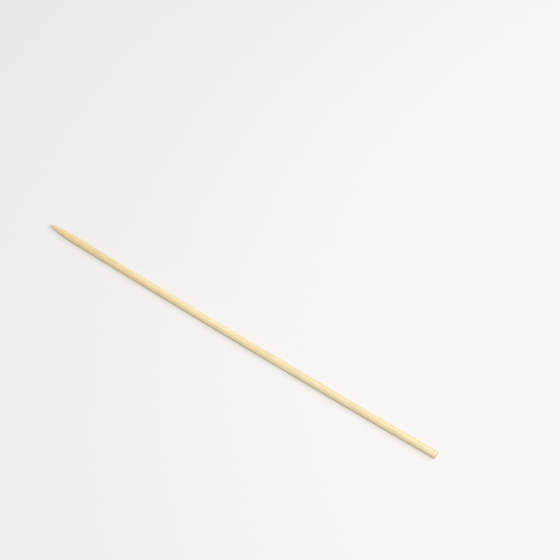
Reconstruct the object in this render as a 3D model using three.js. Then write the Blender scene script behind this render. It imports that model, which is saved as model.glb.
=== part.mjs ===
// A round bamboo skewer: one stick, cut round from a strip of bamboo, ground to
// a point at one end and sawn off square at the other. Millimetres, +Z up.
// It lies along X, its point towards -X, on z = 0. It bows a little sideways,
// towards -Y, so it rests on its side without rolling.
import * as THREE from "three";

// Driving dimensions of the shaft
const length = 250; // from the tip to the sawn end
const shaftHeight = 3.8; // the round is cut from above and below, and is a little oval
const shaftWidth = 3.9;
const bow = 0.9; // how far the middle stands off the line between the two ends

// Driving dimensions of the ground point
const coneLength = 13.5; // from the tip to where a straight flank would meet the shaft
const flankBelly = 0.05; // how far the flank swells out past straight
const shoulderRun = 2.5; // how far before that corner the shoulder starts to round
const tipDiameter = 0.9; // the tip is left blunt, so that it doesn't break off
const tipCrown = 0.3; // the blunt tip is domed by this much

// Driving dimension of the sawn end
const sawnEdgeBreak = 0.2; // its edge is tumbled off at 45 degrees

// Fineness of the facets
const sides = 72; // around the section
const curveSteps = 6; // along each curve of the point
const shaftSteps = 32; // along the shaft, for its bow

const shaftRadius = shaftHeight / 2;
const tipRadius = tipDiameter / 2;

// The domed tip: a quarter of an ellipse from the axis out to the tip's rim.
function addTip(outline) {
  outline.moveTo(0, 0);
  outline.absellipse(0, tipCrown, tipRadius, tipCrown, -Math.PI / 2, 0, false, 0);
}

// The ground flank and its shoulder. The flank is a shallow convex curve, and
// the shoulder leaves it along its tangent and runs out along the shaft's side.
function addPoint(outline) {
  const rim = new THREE.Vector2(tipRadius, tipCrown);
  const corner = new THREE.Vector2(shaftRadius, coneLength);
  const straight = corner.clone().sub(rim).normalize();
  const outward = new THREE.Vector2(straight.y, -straight.x);
  const flankEnd = corner.clone().addScaledVector(straight, -shoulderRun);
  const flankControl = rim.clone().lerp(flankEnd, 0.5);
  flankControl.addScaledVector(outward, 2 * flankBelly); // the curve swells half as far as this
  outline.quadraticCurveTo(flankControl.x, flankControl.y, flankEnd.x, flankEnd.y);

  const tangent = flankEnd.clone().sub(flankControl).normalize();
  const reach = (shaftRadius - flankEnd.x) / tangent.x;
  const shoulderControl = flankEnd.clone().addScaledVector(tangent, reach);
  const shaftStart = shoulderControl.y + reach;
  outline.quadraticCurveTo(shaftRadius, shoulderControl.y, shaftRadius, shaftStart);
  return shaftStart;
}

// The shaft's side in even steps, then the broken edge and the flat sawn end.
function addShaft(outline, shaftStart) {
  const shaftEnd = length - sawnEdgeBreak;
  for (let step = 1; step <= shaftSteps; step += 1) {
    outline.lineTo(shaftRadius, THREE.MathUtils.lerp(shaftStart, shaftEnd, step / shaftSteps));
  }
  outline.lineTo(shaftRadius - sawnEdgeBreak, length);
  outline.lineTo(0, length);
}

// The stick as it would be turned, straight and round, its axis along X and its
// tip at x = 0. It has a flat side underneath, not a corner, and its flat sides,
// not its corners, lie at the outline's radius.
function turnedStick() {
  const outline = new THREE.Path();
  addTip(outline);
  addShaft(outline, addPoint(outline));
  const halfSide = Math.PI / sides;
  const turned = new THREE.LatheGeometry(outline.getPoints(curveSteps), sides, halfSide);
  turned.rotateZ(-Math.PI / 2);
  const flatsOut = 1 / Math.cos(halfSide);
  return turned.scale(1, flatsOut, flatsOut);
}

// Each cross-section moves sideways by a parabola that is zero at both ends.
function bowSideways(geometry) {
  const position = geometry.getAttribute("position");
  for (let i = 0; i < position.count; i += 1) {
    const along = (2 * position.getX(i)) / length - 1;
    position.setY(i, position.getY(i) - bow * (1 - along * along));
  }
}

function skewerGeometry() {
  const geometry = turnedStick();
  geometry.scale(1, shaftWidth / shaftHeight, 1);
  bowSideways(geometry);
  geometry.computeBoundingBox();
  const { min, max } = geometry.boundingBox;
  geometry.translate(-(min.x + max.x) / 2, -(min.y + max.y) / 2, -min.z);
  geometry.computeVertexNormals();
  return geometry;
}

const bamboo = new THREE.MeshStandardMaterial({
  name: "bamboo",
  color: 0xf3e1b2,
  roughness: 0.6,
  metalness: 0,
});

const skewer = new THREE.Mesh(skewerGeometry(), bamboo);
skewer.name = "skewer";

const part = new THREE.Group();
part.add(skewer);

export default part;
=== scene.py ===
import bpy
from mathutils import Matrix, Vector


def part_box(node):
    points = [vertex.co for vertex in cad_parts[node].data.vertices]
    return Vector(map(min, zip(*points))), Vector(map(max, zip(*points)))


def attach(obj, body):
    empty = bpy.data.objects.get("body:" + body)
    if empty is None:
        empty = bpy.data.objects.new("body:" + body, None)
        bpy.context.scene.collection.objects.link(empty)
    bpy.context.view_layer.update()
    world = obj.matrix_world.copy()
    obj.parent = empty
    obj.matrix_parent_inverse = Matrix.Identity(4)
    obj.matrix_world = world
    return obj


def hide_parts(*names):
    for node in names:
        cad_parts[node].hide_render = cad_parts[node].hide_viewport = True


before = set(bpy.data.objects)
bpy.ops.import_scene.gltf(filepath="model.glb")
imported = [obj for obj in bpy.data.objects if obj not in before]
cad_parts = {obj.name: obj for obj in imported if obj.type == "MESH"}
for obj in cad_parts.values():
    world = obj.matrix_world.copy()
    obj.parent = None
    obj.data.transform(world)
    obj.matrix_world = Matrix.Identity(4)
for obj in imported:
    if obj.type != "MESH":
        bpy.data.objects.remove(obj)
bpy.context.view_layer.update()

# A bamboo skewer lying on a pale floor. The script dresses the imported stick: it turns
# the same outline finely, presses the fibre bundles, nicks, grinding and saw marks into
# it as real shape, and gives it a bamboo material.
# Everything is in metres. The stick lies along X, its tip towards -X.
import math

import bpy
import numpy as np

mm = 0.001
lowCorner, highCorner = (np.array(corner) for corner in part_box("skewer"))
stickLength = highCorner[0] - lowCorner[0]
shaftHeight = highCorner[2] - lowCorner[2]
print("frame loaded, the stick is", round(stickLength / mm, 1), "mm long")


# The camera. Both ends of the stick are set on their pixels of the picture.
picture = {
    "size": 560,  # pixels, both ways
    "tipPixel": (50.4, 224.4),  # the middle of the blunt tip
    "endPixel": (436.7, 454.8),  # the middle of the sawn end
    "lookDown": 56.5,  # degrees below the horizon
    "lens": 90.0,  # mm
    "sensor": 36.0,  # mm wide
    "nearest": 0.01,  # nothing closer than this is seen
}


# Where a pixel's ray meets a level plane, for a camera at distance 1 from the point
# of that plane in the picture's middle. x is to the right and y away from the camera.
def planePoint(pixel):
    focal = picture["lens"] / picture["sensor"] * picture["size"]
    right = (pixel[0] - picture["size"] / 2) / focal
    down = (pixel[1] - picture["size"] / 2) / focal
    pitch = math.radians(picture["lookDown"])
    reach = math.sin(pitch) / (down * math.cos(pitch) + math.sin(pitch))
    away = math.cos(pitch) - down * math.sin(pitch)
    return np.array([right * reach, away * reach - math.cos(pitch)])


# The two plane points span a line of the stick's length in the stick's direction,
# which gives the camera's distance and its turn about the upright axis.
def placeCamera(tip, end):
    pitch = math.radians(picture["lookDown"])
    tipSeen, endSeen = planePoint(picture["tipPixel"]), planePoint(picture["endPixel"])
    seen, real = endSeen - tipSeen, end[:2] - tip[:2]
    distance = np.linalg.norm(real) / np.linalg.norm(seen)
    turn = math.atan2(real[1], real[0]) - math.atan2(seen[1], seen[0])
    back = (np.array([0.0, -math.cos(pitch)]) - tipSeen) * distance
    x = tip[0] + back[0] * math.cos(turn) - back[1] * math.sin(turn)
    y = tip[1] + back[0] * math.sin(turn) + back[1] * math.cos(turn)

    data = bpy.data.cameras.new("pictureCamera")
    data.lens = picture["lens"]
    data.sensor_width = picture["sensor"]
    data.clip_start = picture["nearest"]
    camera = bpy.data.objects.new("pictureCamera", data)
    camera.location = (x, y, tip[2] + distance * math.sin(pitch))
    camera.rotation_euler = (math.pi / 2 - pitch, 0, turn)
    bpy.context.scene.collection.objects.link(camera)
    bpy.context.scene.camera = camera
    return turn


# The stick's form. Its length and height come from the frame.
stick = {
    "bow": 0.9 * mm,  # sideways, towards -Y in the middle
    "coneLength": 13.5 * mm,  # from the tip to where a straight flank meets the shaft
    "flankBelly": 0.05 * mm,  # how far the flank swells out past straight
    "shoulderRun": 2.5 * mm,  # how far before that corner the shoulder starts to round
    "tipWidth": 0.9 * mm,
    "tipCrown": 0.3 * mm,  # the blunt tip is domed by this much
    "tipDrift": (0.05 * mm, -0.04 * mm),  # the point is ground a little off the middle
    "groundOnly": 0.62,  # this first share of the point has none of the shaft's surface
    "edgeBreak": 0.2 * mm,  # round the sawn end
    "leastRadius": 0.02 * mm,  # no ring is pressed in to less than this
    "around": 256,  # grid steps round the stick
    "rings": {"tip": 14, "flank": 66, "shoulder": 30, "shaft": 176, "edge": 6, "face": 34},
}
shaftWidth = highCorner[1] - lowCorner[1] - stick["bow"]
shaftRadius = shaftHeight / 2


# A quadratic curve: the weighted mean of its start, control and end points.
def curve(start, control, end, count):
    t = np.linspace(0, 1, count + 1)[1:, None]
    return (1 - t) ** 2 * start + 2 * t * (1 - t) * control + t**2 * end


# The outline that is turned about the stick's axis, as rows of distance from the tip
# and radius: a domed tip, a slightly swollen flank, a shoulder tangent to flank and
# shaft, the shaft, a rounded sawn edge and the face, short of its middle.
def stickOutline():
    rings = stick["rings"]
    tipRadius, crown = stick["tipWidth"] / 2, stick["tipCrown"]
    turn = np.linspace(0, math.pi / 2, rings["tip"] + 1)[1:]
    tip = np.stack([crown * (1 - np.cos(turn)), tipRadius * np.sin(turn)], 1)

    rim = np.array([crown, tipRadius])
    corner = np.array([stick["coneLength"], shaftRadius])
    straight = (corner - rim) / np.linalg.norm(corner - rim)
    flankEnd = corner - straight * stick["shoulderRun"]
    outward = np.array([-straight[1], straight[0]])
    control = (rim + flankEnd) / 2 + outward * 2 * stick["flankBelly"]
    flank = curve(rim, control, flankEnd, rings["flank"])

    tangent = (flankEnd - control) / np.linalg.norm(flankEnd - control)
    reach = (shaftRadius - flankEnd[1]) / tangent[1]
    bend = flankEnd + tangent * reach
    shaftStart = np.array([bend[0] + reach, shaftRadius])
    shoulder = curve(flankEnd, bend, shaftStart, rings["shoulder"])

    edge = stick["edgeBreak"]
    along = np.linspace(shaftStart[0], stickLength - edge, rings["shaft"] + 1)[1:]
    shaft = np.stack([along, np.full_like(along, shaftRadius)], 1)
    turn = np.linspace(0, math.pi / 2, rings["edge"] + 1)[1:]
    along = stickLength - edge * (1 - np.sin(turn))
    rounded = np.stack([along, shaftRadius - edge * (1 - np.cos(turn))], 1)
    radius = np.linspace(shaftRadius - edge, 0, rings["face"] + 1)[1:-1]
    face = np.stack([np.full_like(radius, stickLength), radius], 1)
    return np.concatenate([tip, flank, shoulder, shaft, rounded, face]), shaftStart[0]


# The bamboo's own structure, which both the shape and the colours use.
fibres = {
    "seed": 11,
    "closest": 0.36 * mm,  # between fibre bundles on the outer side of the culm
    "widest": 0.78 * mm,  # and on its inner side
    "rowStep": 0.85,  # from row to row, as a share of that distance
    "jitter": 0.28,  # how far a middle strays, as a share of it
    "thickness": 0.42,  # a bundle's radius as a share of it
    "uneven": (0.6, 1.1),  # the thinnest and thickest bundle against that radius
    "spread": 0.75,  # rows reach this share of the shaft's width either way from its axis
    "outerSide": math.radians(118),  # which way round the stick the culm's skin was
    "slope": 0.0045,  # how far the grain runs off the axis
    "wave": (0.10 * mm, 95 * mm),  # the grain's own slow wave sideways: height and length
    "liftLength": 1.7,  # the wave up and down is this many times as long
    "liftStart": 1.0,  # and starts at this many radians
}


# The middles and radii of the bundles over the section. Rows stand across the culm's
# wall, further apart towards its inner side. Every other row is moved by half a step, and
# every middle strays a little.
def bundleMiddles():
    random = np.random.default_rng(fibres["seed"])
    reach = shaftWidth * fibres["spread"]
    middles, radii = [], []
    across = -reach
    row = 0
    while across < reach:
        share = (across + reach) / (2 * reach)
        pitch = fibres["widest"] + (fibres["closest"] - fibres["widest"]) * share
        beside = np.arange(-reach, reach, pitch) + (row % 2) * pitch / 2
        jitter = random.uniform(-fibres["jitter"], fibres["jitter"], (len(beside), 2)) * pitch
        middles.append(np.stack([np.full_like(beside, across), beside], 1) + jitter)
        radii.append(pitch * fibres["thickness"] * random.uniform(*fibres["uneven"], len(beside)))
        across += pitch * fibres["rowStep"]
        row += 1
    x, y = np.concatenate(middles).T
    cosine, sine = math.cos(fibres["outerSide"]), math.sin(fibres["outerSide"])
    turned = np.stack([x * cosine - y * sine, x * sine + y * cosine], 1)
    return turned, np.concatenate(radii)


# How much of a bundle lies at each point of the straight stick: 1 in a bundle's middle,
# falling smoothly to 0 at its edge. The section's pattern shifts along the stick by the
# grain's slope and by a slow sine wave each way.
def bundleAt(along, y, z):
    height, length = fibres["wave"]
    shift = fibres["slope"] * along + height * np.sin(2 * math.pi * along / length)
    liftTurn = 2 * math.pi * along / (fibres["liftLength"] * length)
    lift = height * np.sin(liftTurn + fibres["liftStart"])
    most = np.zeros_like(y)
    for middle, radius in zip(*bundleMiddles()):
        apart = np.hypot(y + shift - middle[0], z + lift - middle[1]) / radius
        most = np.maximum(most, np.clip(1 - apart**2, 0, 1))
    return most


# What is pressed into the smooth outline. A noise is given by its seed, the spacing of
# its rows, its width round the stick in radians and its cut-off, as driftingNoise takes
# them. A pair is the least and the most of what is drawn at random.
relief = {
    "bundleStep": 0.010 * mm,  # the softer ground between the bundles wears down by this
    "groove": 0.014 * mm,  # fine lines between single fibres
    "grooveNoise": (21, 7 * mm, 0.018, 2.0),
    "wander": 0.010 * mm,  # slow changes of thickness
    "wanderNoise": (22, 24 * mm, 0.5, 1.0),
    "cutterLine": 0.016 * mm,  # where the upper and lower cutters met, on both sides
    "cutterWidth": 0.05,  # radians
    "nicks": 16,
    "nickSeed": 5,
    "nickDepth": 0.035 * mm,
    "nickPlace": (0.08, 0.98),  # as a share of the stick's length
    "nickLength": (1.5 * mm, 6 * mm),
    "nickWidth": (0.03, 0.09),  # radians
    "nickStrength": (0.4, 1.0),
    "groundStep": 0.011 * mm,  # as bundleStep, on the ground point
    "groundGroove": 0.0056 * mm,  # as groove, on the ground point
    "grindLine": 0.009 * mm,  # fine arcs left by grinding the point
    "grindNoise": (23, 0.22 * mm, 0.35, 1.5),
    "tipFray": 0.035 * mm,
    "frayNoise": (24, 0.5 * mm, 0.24, 1.0),
    "frayRun": 0.8 * mm,  # the fraying dies away over this
    "faceStep": 0.022 * mm,  # the face's soft ground lies this much below the bundle ends
    "bundleEdge": 2.0,  # how much steeper a bundle's edge is on the face
    "sawLine": 0.012 * mm,
    "sawPitch": 0.24 * mm,
    "sawTurn": 0.6,  # radians, from across the face
    "sawStray": 0.12,  # how far the lines stray from even spacing, against the pitch
    "sawStrayRate": 5.0,  # radians for each pitch
    "grit": 0.007 * mm,  # torn fibre ends on the face, up and down from its middle
    "gritSize": 0.03 * mm,
    "gritRise": 1.1,  # how much faster the grit changes upwards than across
    "gritBend": 2.0,  # radians that its two waves are bent by
    "gritBendUp": 0.33,  # how fast the bend of the wave across changes upwards
    "gritBendAcross": 0.4,  # how fast the bend of the wave upwards changes across
    "chips": 9,
    "chipSeed": 8,
    "chipDepth": 0.09 * mm,
    "chipWidth": (0.03, 0.14),  # radians
    "chipRun": (0.15 * mm, 0.5 * mm),  # how far a chip reaches from the edge
    "chipStrength": (0.35, 1.0),
}


# Rises from 0 to 1 without a corner at either end: three squares less two cubes.
def smoothStep(t):
    return t * t * (3 - 2 * t)


# A bell curve: 1 in its middle and 0.37 one width away.
def bell(apart, width):
    return np.exp(-((apart / width) ** 2))


# The shorter turn from one direction round the stick to another, in radians.
def turnBetween(first, second):
    return np.angle(np.exp(1j * (first - second)))


# Noise from 0 to 1 that drifts along the stick: rows of random values at even spacing,
# blurred round the stick by a width in radians, with a smooth step from one row to the
# next, and cut off at so many standard deviations either way.
def driftingNoise(along, seed, spacing, width, cutOff):
    random = np.random.default_rng(seed)
    around = stick["around"]
    spareRows = 3  # so that a point at the very end still has a row after it
    rows = random.standard_normal((int(stickLength / spacing) + spareRows, around))
    waves = np.arange(around // 2 + 1)
    blur = np.exp(-0.5 * (waves * width) ** 2)
    rows = np.fft.irfft(np.fft.rfft(rows, axis=1) * blur, around, axis=1)
    rows /= rows.std()
    place = np.clip(along, 0, None) / spacing
    row = place.astype(int)
    step = smoothStep(place - row)[:, None]
    noise = rows[row] * (1 - step) + rows[row + 1] * step
    return 0.5 + np.clip(noise, -cutOff, cutOff) / (2 * cutOff)


# Long shallow tears: each is a bell curve along the stick times a bell curve round it.
def nicks(along, angle):
    random = np.random.default_rng(relief["nickSeed"])
    depth = np.zeros((len(along), len(angle)))
    for _ in range(relief["nicks"]):
        place = random.uniform(*relief["nickPlace"]) * stickLength
        facing = random.uniform(0, 2 * math.pi)
        length = random.uniform(*relief["nickLength"])
        width = random.uniform(*relief["nickWidth"])
        nick = bell(along - place, length)[:, None] * bell(turnBetween(angle, facing), width)
        depth = np.maximum(depth, nick * random.uniform(*relief["nickStrength"]))
    return depth * relief["nickDepth"]


# Small chips out of the sawn edge: each is a bell curve round the edge times one of the
# distance from the edge.
def edgeChips(along, radius, angle):
    random = np.random.default_rng(relief["chipSeed"])
    depth = np.zeros((len(along), len(angle)))
    fromEdge = np.hypot(along - stickLength, radius - shaftRadius)
    for _ in range(relief["chips"]):
        facing = random.uniform(0, 2 * math.pi)
        width = random.uniform(*relief["chipWidth"])
        run = random.uniform(*relief["chipRun"])
        chip = bell(fromEdge, run)[:, None] * bell(turnBetween(angle, facing), width)
        depth = np.maximum(depth, chip * random.uniform(*relief["chipStrength"]))
    return depth * relief["chipDepth"]


# The shaft's own relief: the worn ground between the bundles, grooves, slow changes of
# thickness, nicks and the cutters' line at either side, added up.
def shaftRelief(along, angle, bundle, grooves, wander):
    depth = relief["bundleStep"] * (1 - bundle) + relief["groove"] * grooves
    depth += relief["wander"] * wander + nicks(along, angle)
    rightSide, leftSide = turnBetween(angle, 0), turnBetween(angle, math.pi)
    fromSide = np.minimum(np.abs(rightSide), np.abs(leftSide))
    return depth + relief["cutterLine"] * bell(fromSide, relief["cutterWidth"])


# The ground point's relief: the same ground, grooves and changes of thickness, with arcs
# from the grinding and fraying that dies away from the tip. It fades in proportion to the
# radius over the tip's dome, where the rings close.
def pointRelief(along, radius, bundle, grooves, wander):
    depth = relief["groundStep"] * (1 - bundle) + relief["groundGroove"] * grooves
    depth += relief["wander"] * wander
    depth += relief["grindLine"] * driftingNoise(along, *relief["grindNoise"])
    fray = driftingNoise(along, *relief["frayNoise"])
    depth += relief["tipFray"] * fray * np.exp(-along / relief["frayRun"])[:, None]
    return depth * np.clip(radius / (stick["tipWidth"] / 2), 0, 1)[:, None]


# The sawn face's relief: soft ground below the bundles' ends, saw lines as a sine wave
# that strays from even spacing, and grit as two crossing sine waves that bend each other.
def faceRelief(radius, angle, bundle):
    y, z = radius[:, None] * np.cos(angle), radius[:, None] * np.sin(angle)
    ends = np.clip(relief["bundleEdge"] * bundle, 0, 1)
    place = (y * math.cos(relief["sawTurn"]) + z * math.sin(relief["sawTurn"])) / relief["sawPitch"]
    place += relief["sawStray"] * np.sin(relief["sawStrayRate"] * place)
    saw = 0.5 + 0.5 * np.sin(2 * math.pi * place)
    across, up = y / relief["gritSize"], z / relief["gritSize"]
    acrossBend = relief["gritBend"] * np.sin(relief["gritBendUp"] * up)
    upBend = relief["gritBend"] * np.sin(relief["gritBendAcross"] * across)
    grit = 1 + np.sin(across + acrossBend) * np.sin(relief["gritRise"] * up + upBend)
    return relief["faceStep"] * (1 - ends) + relief["sawLine"] * saw + relief["grit"] * grit


# How far each grid point lies inside the smooth outline: the relief of shaft, point and
# face, each times its share of the ring, plus the chips.
def reliefDepth(along, radius, angle, bundle, ground, face):
    grooves = driftingNoise(along, *relief["grooveNoise"])
    wander = driftingNoise(along, *relief["wanderNoise"])
    depth = shaftRelief(along, angle, bundle, grooves, wander) * (1 - ground - face)
    depth += pointRelief(along, radius, bundle, grooves, wander) * ground
    depth += faceRelief(radius, angle, bundle) * face
    return depth + edgeChips(along, radius, angle)


# Each ring's shares of the ground point and of the sawn face. The point's falls to 0 by a
# smooth step where the shaft starts, and the face's rises evenly over the sawn edge.
def surfaceShares(along, shaftStart):
    only = stick["groundOnly"]
    ground = 1 - smoothStep(np.clip((along / shaftStart - only) / (1 - only), 0, 1))
    face = np.clip(1 + (along - stickLength) / stick["edgeBreak"], 0, 1)
    return ground[:, None], face[:, None]


# The grid of points: the outline turned about the axis, pressed in along its own normal
# by the relief, drawn a little wider than high and drifted at the tip by a parabola. A
# pole closes either end at its ring's mean depth. The masks are each point's bundle and
# face.
def stickPoints():
    outline, shaftStart = stickOutline()
    along, radius = outline.T
    angle = np.arange(stick["around"]) * 2 * math.pi / stick["around"]
    ground, face = surfaceShares(along, shaftStart)
    y, z = radius[:, None] * np.cos(angle), radius[:, None] * np.sin(angle)
    bundle = bundleAt(along[:, None] + 0 * y, y, z)
    depth = reliefDepth(along, radius, angle, bundle, ground, face)

    slope = np.stack([np.gradient(along), np.gradient(radius)], 1)
    slope /= np.linalg.norm(slope, axis=1, keepdims=True)
    pressedAlong = along[:, None] + depth * slope[:, 1:]
    pressedRadius = np.clip(radius[:, None] - depth * slope[:, :1], stick["leastRadius"], None)
    drift = np.clip(1 - pressedAlong / stick["coneLength"], 0, 1) ** 2
    driftY, driftZ = stick["tipDrift"]
    y = pressedRadius * np.cos(angle) * shaftWidth / shaftHeight + driftY * drift
    z = pressedRadius * np.sin(angle) + driftZ * drift

    tipPole = [pressedAlong[0].mean() - along[0], driftY, driftZ]
    endPole = [pressedAlong[-1].mean(), 0, 0]
    straight = np.stack([pressedAlong, y, z], 2).reshape(-1, 3)
    straight = np.concatenate([straight, [tipPole, endPole]])
    masks = np.stack([bundle, face + 0 * bundle], 2).reshape(-1, 2)
    masks = np.concatenate([masks, [[bundle[0].mean(), 0], [bundle[-1].mean(), 1]]])
    return straight, masks, along, radius


# Lays the straight stick down where the CAD node lies: its middle moves towards -Y by a
# parabola that is zero at both ends.
def laidDown(straight):
    fromMiddle = 2 * straight[:, 0] / stickLength - 1  # -1 at the tip, 1 at the sawn end
    x = lowCorner[0] + straight[:, 0]
    y = highCorner[1] - shaftWidth / 2 - stick["bow"] * (1 - fromMiddle**2) + straight[:, 1]
    z = lowCorner[2] + shaftRadius + straight[:, 2]
    return np.stack([x, y, z], 1)


# Quads between neighbouring rings, closed round the stick, and a fan at either end.
# The corners run round the stick first and then along it, so that faces point out.
def stickFaces(rings):
    around = stick["around"]
    ring, step = np.meshgrid(np.arange(rings - 1), np.arange(around), indexing="ij")
    here, beside = ring * around + step, ring * around + (step + 1) % around
    quads = np.stack([here, beside, beside + around, here + around], 2).reshape(-1, 4)

    tipPole, endPole, last = rings * around, rings * around + 1, (rings - 1) * around
    here = np.arange(around)
    beside = (here + 1) % around
    tipFan = np.stack([np.full(around, tipPole), beside, here], 1)
    endFan = np.stack([np.full(around, endPole), last + here, last + beside], 1)
    return quads, tipFan, endFan


# A map for baking: the side lies in two long strips, cut at the stick's middle, and the
# sawn face lies above them as a disc seen square on. Its sizes are shares of the map.
bakeLayout = {"margin": 0.01, "strip": 0.36, "disc": 0.13}


# A place on the disc: polar coordinates round the disc's middle.
def discPlace(radius, turn):
    size = bakeLayout["disc"] * radius / shaftRadius
    middleV = 2 * bakeLayout["strip"] + bakeLayout["disc"] + bakeLayout["margin"]
    return 0.5 + size * np.cos(turn), middleV + size * np.sin(turn)


# A place up a strip: its share of the way round the stick, inside the margins.
def stripPlace(share):
    margin = bakeLayout["margin"]
    return margin + (bakeLayout["strip"] - 2 * margin) * share


# The places of all corners, in the order of stickFaces: quads, tip fan and end fan.
def bakeMap(mesh, along, radius):
    around, rings, margin = stick["around"], len(along), bakeLayout["margin"]
    corner = np.array([[0, 0], [0, 1], [1, 1], [1, 0]])  # a quad's corners, as ring and step
    ring, step = np.meshgrid(np.arange(rings - 1), np.arange(around), indexing="ij")
    ring = ring.reshape(-1, 1) + corner[:, 0]
    step = step.reshape(-1, 1) + corner[:, 1]
    half = stickLength / 2
    far = (along[ring].mean(1) > half)[:, None]
    u = margin + (1 - 2 * margin) * (along[ring] - far * half) / half
    v = far * bakeLayout["strip"] + stripPlace(step / around)
    discU, discV = discPlace(radius[ring], step / around * 2 * math.pi)
    onFace = (ring.min(1) >= rings - stick["rings"]["face"])[:, None]  # its rings come last
    quads = np.stack([np.where(onFace, discU, u), np.where(onFace, discV, v)], 2)

    step = np.arange(around)
    tipShare = np.stack([step + 0.5, step + 1, step], 1) / around
    tipU = np.array([0.5, 1, 1]) * margin + 0 * tipShare
    tipFan = np.stack([tipU, stripPlace(tipShare)], 2)
    endTurn = np.stack([step, step, step + 1], 1) / around * 2 * math.pi
    endFan = np.stack(discPlace(radius[-1] * np.array([0, 1, 1]), endTurn), 2)
    places = np.concatenate([part.reshape(-1, 2) for part in (quads, tipFan, endFan)])
    layer = mesh.uv_layers.new(name="OFBake")
    layer.uv.foreach_set("vector", np.clip(places, 0, 1).astype(np.float32).ravel())


# The finished mesh. grain is each point's place in the straight stick, so that a
# pattern follows the bow. bundle and sawn are the masks that the material reads.
def buildStick():
    straight, masks, along, radius = stickPoints()
    faces = [face for part in stickFaces(len(along)) for face in part.tolist()]
    mesh = bpy.data.meshes.new("bambooStick")
    mesh.from_pydata(laidDown(straight), [], faces)
    mesh.polygons.foreach_set("use_smooth", np.ones(len(mesh.polygons), bool))
    grain = mesh.attributes.new("grain", "FLOAT_VECTOR", "POINT")
    grain.data.foreach_set("vector", straight.astype(np.float32).ravel())
    for name, values in zip(("bundle", "sawn"), masks.T):
        mask = mesh.attributes.new(name, "FLOAT", "POINT")
        mask.data.foreach_set("value", np.ascontiguousarray(values, np.float32))
    bakeMap(mesh, along, radius)
    mesh.validate()
    piece = bpy.data.objects.new("bambooStick", mesh)
    bpy.context.scene.collection.objects.link(piece)
    print("stick built,", len(mesh.polygons), "faces")
    return piece


# Bare tumbled bamboo. Colours are linear red, green, blue. A noise is given by its
# cells' length and width, and by its detail and roughness where they aren't the usual
# ones. A span is the two values of the noise between which the thing comes in.
bamboo = {
    "usualSpan": (0.3, 0.7),  # most of a noise lies in it
    "pale": (1.0, 0.86, 0.54),
    "straw": (0.99, 0.795, 0.44),
    "toneNoise": (45 * mm, 1.6 * mm),
    "golden": (0.98, 0.73, 0.35),  # towards the tip
    "goldenShows": 0.75,
    "goldenRun": 0.45,  # as a share of the stick's length
    "buttTint": (1.01, 1.02, 1.04),  # the stick is a little paler towards the sawn end
    "buttStart": 0.6,  # as a share of the stick's length
    "bundle": (0.60, 0.37, 0.14),
    "bundleShows": (0.04, 0.46),  # least and most, as the bundles come and go
    "bundleNoise": (10 * mm, 0.5 * mm, 4.0),
    "bundleSpan": (0.38, 0.66),
    "cutEndShows": 0.52,  # the bundles' cut ends on the sawn face
    "cutEndSpan": (0.22, 0.80),  # of the bundle mask, so that their edge is clear
    "dash": (0.46, 0.27, 0.10),  # single dark fibres
    "dashShows": 0.5,
    "dashNoise": (9 * mm, 0.11 * mm),
    "dashSpan": (0.66, 0.72),
    "mottle": (0.90, 1.07),
    "mottleNoise": (6 * mm, 1.8 * mm, 4.0, 0.75),
    "streak": (0.89, 1.04),
    "streakNoise": (26 * mm, 0.085 * mm, 3.0),
    "ground": (0.90, 0.72, 0.42),  # the point, ground across the fibres
    "groundShows": 0.5,
    "groundEnds": (10.5 * mm, 13.0 * mm),  # from the tip, less the wobble
    "groundWobble": 2.5 * mm,
    "groundNoise": (5 * mm, 0.5 * mm),
    "sawnPaintedLight": (1.01, 1.02, 1.10),  # painted light: the sawn face is made paler, standing in for the light that falls on it
    "roughness": (0.42, 0.60),
    "cutRoughness": 0.66,  # of the sawn face, and the point comes part of the way to it
    "bumpStrength": 0.35,
    "bumpHeight": 0.02 * mm,
}


# Small helpers for a node tree: a new node with its settings and inputs.
def addNode(tree, kind, inputs=(), **settings):
    node = tree.nodes.new(kind)
    for name, value in settings.items():
        setattr(node, name, value)
    for name, value in dict(inputs).items():
        if isinstance(value, bpy.types.NodeSocket):
            tree.links.new(value, node.inputs[name])
        else:
            node.inputs[name].default_value = value
    return node


def readAttribute(tree, name, output):
    return addNode(tree, "ShaderNodeAttribute", attribute_name=name).outputs[output]


# Noise in the stick's own space, with a cell's length along the stick and width across it.
def grainNoise(tree, grain, length, width, detail=2.0, rough=0.5):
    scale = (1 / length, 1 / width, 1 / width)
    scaled = addNode(tree, "ShaderNodeMapping", {"Vector": grain, "Scale": scale}).outputs[0]
    inputs = {"Vector": scaled, "Scale": 1.0, "Detail": detail, "Roughness": rough}
    return addNode(tree, "ShaderNodeTexNoise", inputs).outputs[0]


def remap(tree, value, fromLow, fromHigh, toLow=0.0, toHigh=1.0, between="LINEAR"):
    inputs = {0: value, 1: fromLow, 2: fromHigh, 3: toLow, 4: toHigh}
    return addNode(tree, "ShaderNodeMapRange", inputs, interpolation_type=between).outputs[0]


def calculate(tree, operation, first, second):
    return addNode(tree, "ShaderNodeMath", {0: first, 1: second}, operation=operation).outputs[0]


# A Mix node's numbers are its inputs 2 and 3. Its colours are inputs 6 and 7 and output 2.
def mixNumbers(tree, share, first, second):
    return addNode(tree, "ShaderNodeMix", {0: share, 2: first, 3: second}).outputs[0]


def mixColours(tree, share, first, second, blend="MIX"):
    node = addNode(tree, "ShaderNodeMix", {0: share}, data_type="RGBA", blend_type=blend)
    for socket, colour in ((node.inputs[6], first), (node.inputs[7], second)):
        if isinstance(colour, bpy.types.NodeSocket):
            tree.links.new(colour, socket)
        else:
            socket.default_value = (*colour, 1.0)
    return node.outputs[2]


def tinted(tree, colour, tint):
    return mixColours(tree, 1.0, colour, tint, "MULTIPLY")


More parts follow.
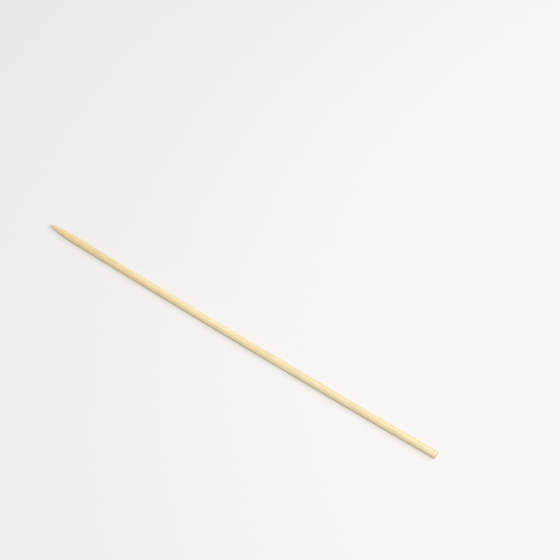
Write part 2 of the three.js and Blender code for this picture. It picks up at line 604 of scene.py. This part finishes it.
# A noise as a grey between two levels, to tint a colour with.
def greyNoise(tree, noise, levels):
    level = remap(tree, noise, *bamboo["usualSpan"], *levels)
    return addNode(tree, "ShaderNodeCombineColor", {0: level, 1: level, 2: level}).outputs[0]


def mixShaders(tree, share, first, second):
    node = addNode(tree, "ShaderNodeMixShader", {0: share, 1: first, 2: second})
    return node.outputs[0]


# The wood's tone drifts slowly from pale to straw. It is golden towards the tip and a
# little paler towards the sawn end.
def woodTone(tree, grain, along):
    tone = remap(tree, grainNoise(tree, grain, *bamboo["toneNoise"]), *bamboo["usualSpan"])
    colour = mixColours(tree, tone, bamboo["pale"], bamboo["straw"])
    goldenEnd = bamboo["goldenRun"] * stickLength
    nearTip = remap(tree, along, 0.0, goldenEnd, bamboo["goldenShows"], 0.0)
    colour = mixColours(tree, nearTip, colour, bamboo["golden"])
    nearButt = remap(tree, along, bamboo["buttStart"] * stickLength, stickLength)
    return mixColours(tree, nearButt, colour, tinted(tree, colour, bamboo["buttTint"]))


# Bundles come and go along the stick, show as clear dots on the sawn face, and have
# single dark fibres among them.
def withBundles(tree, colour, grain, sawn):
    bundle = readAttribute(tree, "bundle", "Fac")
    comeAndGo = grainNoise(tree, grain, *bamboo["bundleNoise"])
    showing = remap(tree, comeAndGo, *bamboo["bundleSpan"], *bamboo["bundleShows"])
    showing = mixNumbers(tree, sawn, showing, bamboo["cutEndShows"])
    bundle = mixNumbers(tree, sawn, bundle, remap(tree, bundle, *bamboo["cutEndSpan"]))
    showing = calculate(tree, "MULTIPLY", bundle, showing)
    colour = mixColours(tree, showing, colour, bamboo["bundle"])
    thin = grainNoise(tree, grain, *bamboo["dashNoise"])
    dashes = remap(tree, thin, *bamboo["dashSpan"], 0.0, bamboo["dashShows"])
    return mixColours(tree, dashes, colour, bamboo["dash"])


# How much of the ground point's own colour shows. It ends in a ragged line.
def pointShare(tree, grain, along):
    ragged = grainNoise(tree, grain, *bamboo["groundNoise"])
    wobble = calculate(tree, "MULTIPLY", ragged, bamboo["groundWobble"])
    place = calculate(tree, "ADD", along, wobble)
    return remap(tree, place, *bamboo["groundEnds"], bamboo["groundShows"], 0.0)


def bambooMaterial():
    material = bpy.data.materials.new("bareBamboo")
    material.use_nodes = True
    tree = material.node_tree
    shader = tree.nodes["Principled BSDF"]
    grain = readAttribute(tree, "grain", "Vector")
    sawn = readAttribute(tree, "sawn", "Fac")
    along = addNode(tree, "ShaderNodeSeparateXYZ", {0: grain}).outputs[0]
    fine = grainNoise(tree, grain, *bamboo["streakNoise"])
    onPoint = pointShare(tree, grain, along)

    colour = withBundles(tree, woodTone(tree, grain, along), grain, sawn)
    mottle = grainNoise(tree, grain, *bamboo["mottleNoise"])
    colour = tinted(tree, colour, greyNoise(tree, mottle, bamboo["mottle"]))
    colour = tinted(tree, colour, greyNoise(tree, fine, bamboo["streak"]))
    colour = mixColours(tree, onPoint, colour, bamboo["ground"])
    # The sawn face is made paler here: painted light, standing in for the light that falls on the
    # face.
    colour = mixColours(tree, sawn, colour, tinted(tree, colour, bamboo["sawnPaintedLight"]))
    colour.node.clamp_result = True  # no part reflects more light than it gets
    tree.links.new(colour, shader.inputs["Base Color"])

    gloss = remap(tree, fine, *bamboo["usualSpan"], *bamboo["roughness"])
    cut = calculate(tree, "MAXIMUM", onPoint, sawn)
    tree.links.new(mixNumbers(tree, cut, gloss, bamboo["cutRoughness"]), shader.inputs["Roughness"])
    inputs = {"Strength": bamboo["bumpStrength"], "Distance": bamboo["bumpHeight"], "Height": fine}
    bump = addNode(tree, "ShaderNodeBump", inputs).outputs[0]
    tree.links.new(bump, shader.inputs["Normal"])
    print("bamboo material made")
    return material


# The floor, the lamps and the surroundings. A lamp's direction is as the picture sees
# it: 0 is from the right and 90 from beyond the floor.
studio = {
    "floorSize": 6.0,
    "floorColour": (0.87, 0.87, 0.87),
    "floorRoughness": 0.95,
    "floorSpecular": 0.1,
    "floorFades": (0.26, 0.60),  # how far from the middle it turns into the backdrop
    "surroundings": 0.55,  # the strength of the dome that lights the scene
    "backdrop": (0.90, 0.90, 0.90),  # what the camera sees beyond the floor
    "lamps": {  # from, degrees above the horizon, distance, size, watts
        "topLamp": (-24.0, 77.0, 1.05, 0.55, 4.25),
        "sideLamp": (16.0, 45.0, 1.20, 0.70, 2.65),
    },
}


# 1 for rays from the camera, and for reflected and refracted ones, which see what it sees.
def seenByCamera(tree):
    light = addNode(tree, "ShaderNodeLightPath")
    seen = light.outputs["Is Camera Ray"]
    for ray in ("Is Glossy Ray", "Is Transmission Ray"):
        seen = calculate(tree, "MAXIMUM", seen, light.outputs[ray])
    return seen


# The backdrop's own even light, as a surface or as the world.
def backdropShader(tree, kind):
    return addNode(tree, kind, {"Color": (*studio["backdrop"], 1), "Strength": 1.0}).outputs[0]


# Paper that keeps the stick's shadow. Further out it fades into the backdrop, so that no
# horizon shows in a low view.
def paperMaterial():
    material = bpy.data.materials.new("palePaper")
    material.use_nodes = True
    tree = material.node_tree
    paper = tree.nodes["Principled BSDF"]
    paper.inputs["Base Color"].default_value = (*studio["floorColour"], 1)
    paper.inputs["Roughness"].default_value = studio["floorRoughness"]
    paper.inputs["Specular IOR Level"].default_value = studio["floorSpecular"]
    place = addNode(tree, "ShaderNodeTexCoord").outputs["Object"]
    length = addNode(tree, "ShaderNodeVectorMath", {0: place}, operation="LENGTH")
    fade = remap(tree, length.outputs["Value"], *studio["floorFades"], between="SMOOTHSTEP")
    share = calculate(tree, "MULTIPLY", fade, seenByCamera(tree))
    surface = mixShaders(tree, share, paper.outputs[0], backdropShader(tree, "ShaderNodeEmission"))
    tree.links.new(surface, tree.nodes["Material Output"].inputs["Surface"])
    return material


def buildFloor():
    half = studio["floorSize"] / 2
    corners = [(-half, -half, 0), (half, -half, 0), (half, half, 0), (-half, half, 0)]
    mesh = bpy.data.meshes.new("floor")
    mesh.from_pydata(corners, [], [(0, 1, 2, 3)])
    mesh.materials.append(paperMaterial())
    floor = bpy.data.objects.new("floor", mesh)
    bpy.context.scene.collection.objects.link(floor)
    print("floor laid")


# A soft round lamp that faces the middle of the floor.
def addLamp(name, turn):
    comesFrom, height, distance, size, watts = studio["lamps"][name]
    data = bpy.data.lights.new(name, "AREA")
    data.shape = "DISK"
    data.size = size
    data.energy = watts
    lamp = bpy.data.objects.new(name, data)
    around, up = turn + math.radians(comesFrom), math.radians(height)
    level = math.cos(up) * distance
    lamp.location = (level * math.cos(around), level * math.sin(around), math.sin(up) * distance)
    lamp.rotation_euler = (math.pi / 2 - up, 0, around + math.pi / 2)
    bpy.context.scene.collection.objects.link(lamp)


# An even pale dome lights the scene, and the camera sees a paler one beyond the floor.
def addSurroundings():
    world = bpy.data.worlds.new("paleDome")
    world.use_nodes = True
    tree = world.node_tree
    dome = tree.nodes["Background"]
    dome.inputs["Color"].default_value = (1, 1, 1, 1)
    dome.inputs["Strength"].default_value = studio["surroundings"]
    seen = backdropShader(tree, "ShaderNodeBackground")
    surface = mixShaders(tree, seenByCamera(tree), dome.outputs[0], seen)
    tree.links.new(surface, tree.nodes["World Output"].inputs["Surface"])
    bpy.context.scene.world = world


middleY = highCorner[1] - shaftWidth / 2
tipPoint = np.array([lowCorner[0], middleY, lowCorner[2] + shaftRadius])
endPoint = np.array([highCorner[0], middleY, lowCorner[2] + shaftRadius])
pictureTurn = placeCamera(tipPoint, endPoint)
print("camera placed, turned by", round(math.degrees(pictureTurn), 1), "degrees")

stickPiece = buildStick()
stickPiece.data.materials.append(bambooMaterial())
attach(stickPiece, "root")
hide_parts("skewer")

buildFloor()
for lampName in studio["lamps"]:
    addLamp(lampName, pictureTurn)
addSurroundings()
bpy.context.scene.view_settings.view_transform = "Standard"
print("studio lit")
